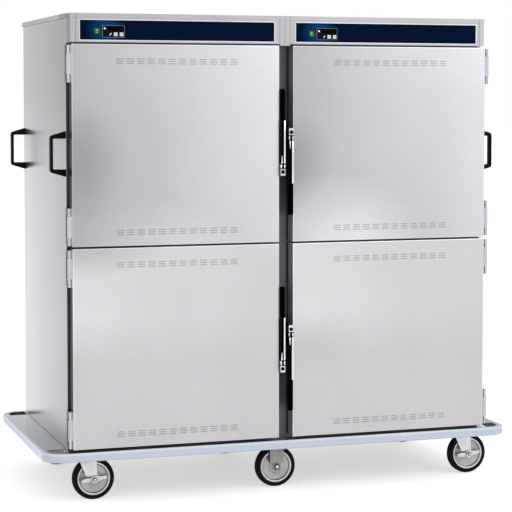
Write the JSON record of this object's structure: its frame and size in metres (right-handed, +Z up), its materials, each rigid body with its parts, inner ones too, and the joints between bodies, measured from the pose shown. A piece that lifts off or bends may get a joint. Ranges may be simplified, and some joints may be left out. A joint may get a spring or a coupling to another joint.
{
  "type": "heated banquet cart",
  "caption": "Insulated stainless cabinet cart with stacked side-hinged doors, lever latches, bumpered base on casters and control panels above the doors.",
  "frame": {"origin": "middle of the base on the floor, under the middle of the bumper's outline", "axes": "+Z up; +X to the cart's right as seen from the front; the doors face -Y"},
  "size_m": [1.78, 0.915, 1.735],
  "materials": {
    "stainless": "brushed",
    "frame_steel": "mill",
    "door_frame_steel": "satin",
    "bumper_vinyl": "satin",
    "liner_steel": "satin",
    "shelf_chrome": "polished",
    "cable_sheath": "matte",
    "blanket": "matte",
    "overlay_film": "satin",
    "control_plastic": "matte",
    "key_plastic": "satin",
    "rocker_plastic": "gloss",
    "gasket_rubber": "matte",
    "hinge_chrome": "polished",
    "latch_chrome": "polished",
    "lever_metal": "satin",
    "handle_steel": "satin",
    "caster_zinc": "satin",
    "wheel_tyre": "matte",
    "inlet_plastic": "matte"
  },
  "bodies": {
    "cabinet": {"base_frame": "frame_steel", "base_deck": "stainless", "bumper": "bumper_vinyl", "side_panels": "stainless", "back_panel": "stainless", "top_panel": "stainless", "front_frame": "door_frame_steel", "left_compartment_liner": "liner_steel", "right_compartment_liner": "liner_steel", "wire_shelves": "shelf_chrome", "heating_cables": "cable_sheath", "insulation": "blanket", "control_bonnets": "stainless", "control_overlays": "overlay_film", "control_housings": "control_plastic", "hinge_frame_leaves": "hinge_chrome", "door_gaskets": "gasket_rubber", "latch_keepers": "latch_chrome", "push_handles": "handle_steel", "power_inlet": "inlet_plastic", "caster_top_plates": "caster_zinc", "rigid_caster_forks": "caster_zinc"},
    "upper_left_door": {"upper_left_door_pan": "stainless", "upper_left_door_liner": "liner_steel", "upper_left_hinge_leaves": "hinge_chrome", "upper_left_latch_body": "latch_chrome"},
    "upper_left_lever": {"upper_left_latch_lever": "lever_metal"},
    "upper_right_door": {"upper_right_door_pan": "stainless", "upper_right_door_liner": "liner_steel", "upper_right_hinge_leaves": "hinge_chrome", "upper_right_latch_body": "latch_chrome"},
    "upper_right_lever": {"upper_right_latch_lever": "lever_metal"},
    "lower_left_door": {"lower_left_door_pan": "stainless", "lower_left_door_liner": "liner_steel", "lower_left_hinge_leaves": "hinge_chrome", "lower_left_latch_body": "latch_chrome"},
    "lower_left_lever": {"lower_left_latch_lever": "lever_metal"},
    "lower_right_door": {"lower_right_door_pan": "stainless", "lower_right_door_liner": "liner_steel", "lower_right_hinge_leaves": "hinge_chrome", "lower_right_latch_body": "latch_chrome"},
    "lower_right_lever": {"lower_right_latch_lever": "lever_metal"},
    "front_left_swivel": {"front_left_caster_fork": "caster_zinc"},
    "front_right_swivel": {"front_right_caster_fork": "caster_zinc"},
    "rear_left_swivel": {"rear_left_caster_fork": "caster_zinc"},
    "rear_right_swivel": {"rear_right_caster_fork": "caster_zinc"},
    "front_left_wheel": {"front_left_wheel": "wheel_tyre"},
    "front_right_wheel": {"front_right_wheel": "wheel_tyre"},
    "rear_left_wheel": {"rear_left_wheel": "wheel_tyre"},
    "rear_right_wheel": {"rear_right_wheel": "wheel_tyre"},
    "front_middle_wheel": {"front_middle_wheel": "wheel_tyre"},
    "rear_middle_wheel": {"rear_middle_wheel": "wheel_tyre"},
    "front_left_brake": {"front_left_brake_lever": "caster_zinc"},
    "front_right_brake": {"front_right_brake_lever": "caster_zinc"},
    "left_rocker": {"left_rocker": "rocker_plastic"},
    "left_first_key": {"left_first_key": "key_plastic"},
    "left_second_key": {"left_second_key": "key_plastic"},
    "right_rocker": {"right_rocker": "rocker_plastic"},
    "right_first_key": {"right_first_key": "key_plastic"},
    "right_second_key": {"right_second_key": "key_plastic"}
  },
  "joints": [
    {"name": "upper_left_door_hinge", "type": "hinge", "parent": "cabinet", "child": "upper_left_door", "pos_m": [-0.7965, -0.437, 1.27375], "axis": [0, 0, -1], "range_deg": [0, 180]},
    {"name": "upper_left_latch_pivot", "type": "hinge", "parent": "upper_left_door", "child": "upper_left_lever", "pos_m": [-0.0155, -0.4445, 1.1915], "axis": [1, 0, 0], "range_deg": [0, 40], "stiffness_Nm_per_rad": 1, "springref_deg": -34.38},
    {"name": "upper_right_door_hinge", "type": "hinge", "parent": "cabinet", "child": "upper_right_door", "pos_m": [0.7965, -0.437, 1.27375], "axis": [0, 0, 1], "range_deg": [0, 180]},
    {"name": "upper_right_latch_pivot", "type": "hinge", "parent": "upper_right_door", "child": "upper_right_lever", "pos_m": [0.0155, -0.4445, 1.2985], "axis": [-1, 0, 0], "range_deg": [0, 40], "stiffness_Nm_per_rad": 1, "springref_deg": -34.38},
    {"name": "lower_left_door_hinge", "type": "hinge", "parent": "cabinet", "child": "lower_left_door", "pos_m": [-0.7965, -0.437, 0.55925], "axis": [0, 0, -1], "range_deg": [0, 180]},
    {"name": "lower_left_latch_pivot", "type": "hinge", "parent": "lower_left_door", "child": "lower_left_lever", "pos_m": [-0.0155, -0.4445, 0.477], "axis": [1, 0, 0], "range_deg": [0, 40], "stiffness_Nm_per_rad": 1, "springref_deg": -34.38},
    {"name": "lower_right_door_hinge", "type": "hinge", "parent": "cabinet", "child": "lower_right_door", "pos_m": [0.7965, -0.437, 0.55925], "axis": [0, 0, 1], "range_deg": [0, 180]},
    {"name": "lower_right_latch_pivot", "type": "hinge", "parent": "lower_right_door", "child": "lower_right_lever", "pos_m": [0.0155, -0.4445, 0.584], "axis": [-1, 0, 0], "range_deg": [0, 40], "stiffness_Nm_per_rad": 1, "springref_deg": -34.38},
    {"name": "front_left_swivel", "type": "hinge", "parent": "cabinet", "child": "front_left_swivel", "pos_m": [-0.734, -0.3165, 0.176], "axis": [0, 0, 1], "continuous": true},
    {"name": "front_right_swivel", "type": "hinge", "parent": "cabinet", "child": "front_right_swivel", "pos_m": [0.734, -0.3165, 0.176], "axis": [0, 0, 1], "continuous": true},
    {"name": "rear_left_swivel", "type": "hinge", "parent": "cabinet", "child": "rear_left_swivel", "pos_m": [-0.734, 0.3165, 0.176], "axis": [0, 0, 1], "continuous": true},
    {"name": "rear_right_swivel", "type": "hinge", "parent": "cabinet", "child": "rear_right_swivel", "pos_m": [0.734, 0.3165, 0.176], "axis": [0, 0, 1], "continuous": true},
    {"name": "front_left_wheel_spin", "type": "hinge", "parent": "front_left_swivel", "child": "front_left_wheel", "pos_m": [-0.69, -0.3165, 0.0762], "axis": [0, 1, 0], "continuous": true},
    {"name": "front_right_wheel_spin", "type": "hinge", "parent": "front_right_swivel", "child": "front_right_wheel", "pos_m": [0.778, -0.3165, 0.0762], "axis": [0, 1, 0], "continuous": true},
    {"name": "rear_left_wheel_spin", "type": "hinge", "parent": "rear_left_swivel", "child": "rear_left_wheel", "pos_m": [-0.69, 0.3165, 0.0762], "axis": [0, 1, 0], "continuous": true},
    {"name": "rear_right_wheel_spin", "type": "hinge", "parent": "rear_right_swivel", "child": "rear_right_wheel", "pos_m": [0.778, 0.3165, 0.0762], "axis": [0, 1, 0], "continuous": true},
    {"name": "front_middle_wheel_spin", "type": "hinge", "parent": "cabinet", "child": "front_middle_wheel", "pos_m": [0, -0.3165, 0.0762], "axis": [0, 1, 0], "continuous": true},
    {"name": "rear_middle_wheel_spin", "type": "hinge", "parent": "cabinet", "child": "rear_middle_wheel", "pos_m": [0, 0.3165, 0.0762], "axis": [0, 1, 0], "continuous": true},
    {"name": "front_left_brake_pivot", "type": "hinge", "parent": "front_left_swivel", "child": "front_left_brake", "pos_m": [-0.69, -0.3425, 0.0762], "axis": [0, 1, 0], "range_deg": [0, 15]},
    {"name": "front_right_brake_pivot", "type": "hinge", "parent": "front_right_swivel", "child": "front_right_brake", "pos_m": [0.778, -0.3425, 0.0762], "axis": [0, 1, 0], "range_deg": [0, 15]},
    {"name": "left_rocker_tilt", "type": "hinge", "parent": "cabinet", "child": "left_rocker", "pos_m": [-0.694, -0.427, 1.67175], "axis": [1, 0, 0], "range_deg": [0, 12]},
    {"name": "left_first_key_press", "type": "slide", "parent": "cabinet", "child": "left_first_key", "axis": [0, 1, 0], "range_m": [0, 0.0006], "stiffness_N_per_m": 300, "springref_m": -0.001},
    {"name": "left_second_key_press", "type": "slide", "parent": "cabinet", "child": "left_second_key", "axis": [0, 1, 0], "range_m": [0, 0.0006], "stiffness_N_per_m": 300, "springref_m": -0.001},
    {"name": "right_rocker_tilt", "type": "hinge", "parent": "cabinet", "child": "right_rocker", "pos_m": [0.1015, -0.427, 1.67175], "axis": [1, 0, 0], "range_deg": [0, 12]},
    {"name": "right_first_key_press", "type": "slide", "parent": "cabinet", "child": "right_first_key", "axis": [0, 1, 0], "range_m": [0, 0.0006], "stiffness_N_per_m": 300, "springref_m": -0.001},
    {"name": "right_second_key_press", "type": "slide", "parent": "cabinet", "child": "right_second_key", "axis": [0, 1, 0], "range_m": [0, 0.0006], "stiffness_N_per_m": 300, "springref_m": -0.001}
  ]
}
